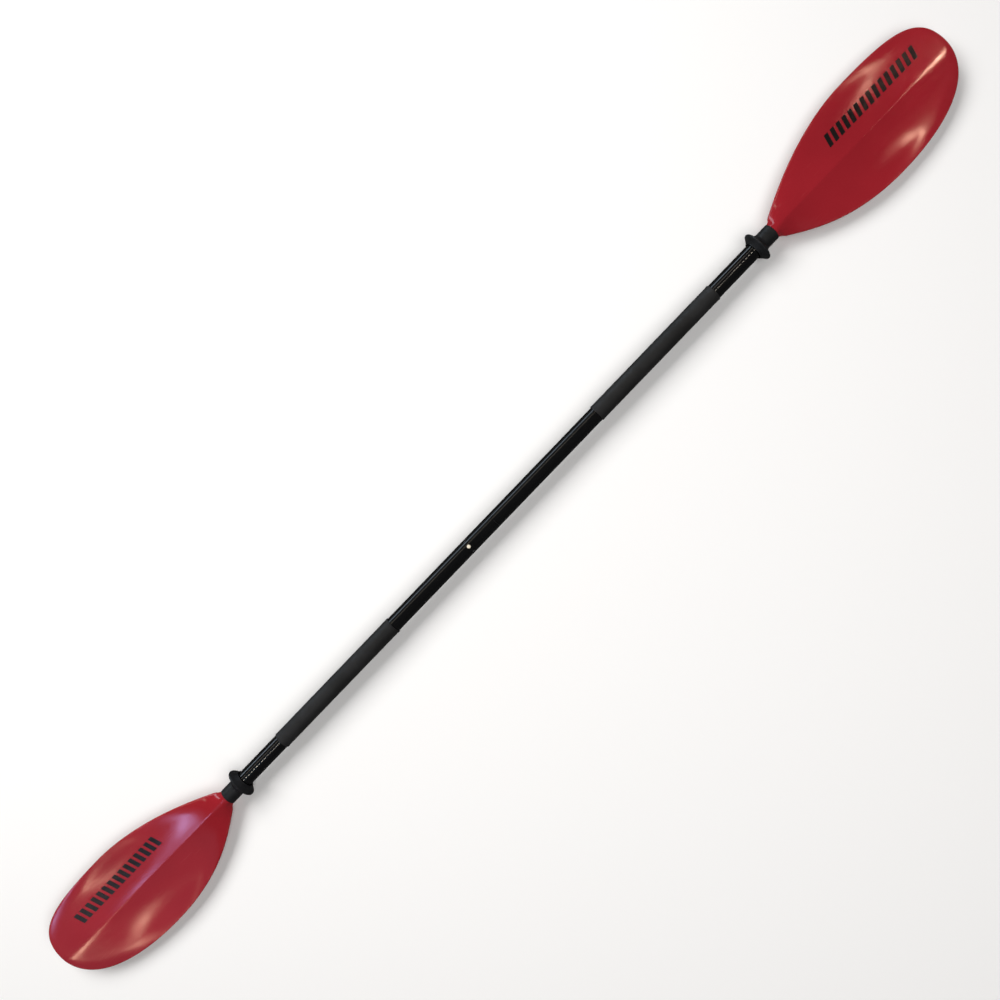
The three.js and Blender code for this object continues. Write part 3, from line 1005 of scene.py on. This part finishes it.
def make_world():
    """Dim for reflections and light, pale where the camera sees it past the floor."""
    world = bpy.data.worlds.new("room")
    bpy.context.scene.world = world
    world.use_nodes = True
    nodes, links = world.node_tree.nodes, world.node_tree.links
    room = nodes["Background"]
    room.inputs["Color"].default_value = colour(1.0, 0.98, 0.96)
    room.inputs["Strength"].default_value = 0.06
    seen = nodes.new("ShaderNodeBackground")
    seen.inputs["Color"].default_value = WHITE
    mix = nodes.new("ShaderNodeMixShader")
    links.new(nodes.new("ShaderNodeLightPath").outputs["Is Camera Ray"], mix.inputs[0])
    links.new(room.outputs[0], mix.inputs[1])
    links.new(seen.outputs[0], mix.inputs[2])
    links.new(mix.outputs[0], nodes["World Output"].inputs["Surface"])


SOFT = (1.0, 0.985, 0.97)
WARM = (1.0, 0.60, 0.42)
CREAM = (1.0, 0.90, 0.74)
COOL = (0.72, 0.86, 1.0)
VIOLET = (0.55, 0.50, 1.0)
SKY = (0.45, 0.75, 1.0)
UNSHADED = 180  # a lamp that shines to all sides in front of it


def area_light(name, position, target, size, power, tint, spread=UNSHADED):
    data = bpy.data.lights.new(name, "AREA")
    data.shape = "RECTANGLE"
    data.size, data.size_y = size
    data.energy = power
    data.color = tint
    data.spread = math.radians(spread)
    light = bpy.data.objects.new(name, data)
    light.location = position
    light.rotation_euler = (Vector(target) - Vector(position)).to_track_quat("-Z", "Y").to_euler()
    bpy.context.scene.collection.objects.link(light)
    return light


def lighting(*settings):
    """A lamp that lights the scene and isn't mirrored in it."""
    area_light(*settings).visible_glossy = False


def mirrored(*settings):
    """A lamp that is only seen as a highlight."""
    area_light(*settings).visible_diffuse = False


def make_lights():
    """Two soft lights do the lighting; the rest are the lamps and windows the gloss mirrors."""
    lighting("soft_key", (-0.4, 3.0, 3.0), (0, 0, 0), (3.6, 2.4), 190, SOFT)
    lighting("soft_fill", (0.3, -1.2, 3.4), (0, 0, 0), (3.0, 3.0), 70, SOFT)
    mirrored("lamp_right", (2.15, 0, 2.4), (1.13, 0, 0), (0.10, 0.10), 0.008, WARM, 7.5)
    mirrored("lamp_left", (-2.46, -0.12, 2.4), (-1.12, -0.03, 0), (0.24, 0.18), 0.0065, WARM, 8)
    mirrored("lamp_near_right", (1.25, 0, 2.4), (0.6, 0, 0), (0.14, 0.14), 2.0, CREAM)
    mirrored("lamp_near_left", (-1.55, 0, 2.4), (-0.6, 0, 0), (0.16, 0.16), 3.0, CREAM)
    mirrored("window_left", (-2.54, 0.68, 2.4), (-0.8, 0, 0), (0.26, 0.22), 2.1, VIOLET)
    mirrored("sky_left", (-2.9, 0.1, 2.5), (-0.9, 0, 0), (2.2, 2.6), 5, SKY)
    mirrored("window_side", (0, 3.4, 0.92), (0, 0, 0.03), (5.5, 0.60), 48, COOL)
    mirrored("lamp_row", (-0.2, 1.75, 2.4), (-0.2, 0, 0), (3.9, 0.20), 8, CREAM)


SENSOR_MM = 36
LENS_MM = 34.2
CAMERA_DISTANCE = 1.713135
CAMERA_LEAN = math.radians(2.907863)
SHAFT_ANGLE = math.radians(46.11)  # of the shaft in the picture, from level
CAMERA_TARGET = Vector((0.0332, 0.0176, AXIS_Z))


def make_camera():
    """Stands above the paddle, a little to the right of its middle, so that the right end is nearer."""
    data = bpy.data.cameras.new("camera")
    camera = bpy.data.objects.new("camera", data)
    bpy.context.scene.collection.objects.link(camera)
    data.sensor_width = SENSOR_MM
    data.lens = LENS_MM
    data.clip_end = 100
    back = Vector((math.sin(CAMERA_LEAN), 0, math.cos(CAMERA_LEAN)))
    along = (Vector((1, 0, 0)) - back * back.x).normalized()
    across = back.cross(along)
    right = along * math.cos(SHAFT_ANGLE) - across * math.sin(SHAFT_ANGLE)
    up = along * math.sin(SHAFT_ANGLE) + across * math.cos(SHAFT_ANGLE)
    matrix = Matrix((right, up, back)).transposed().to_4x4()
    matrix.translation = CAMERA_TARGET + back * CAMERA_DISTANCE
    camera.matrix_world = matrix
    bpy.context.scene.camera = camera


make_floor()
make_world()
make_lights()
make_camera()
bpy.context.scene.view_settings.view_transform = "Standard"
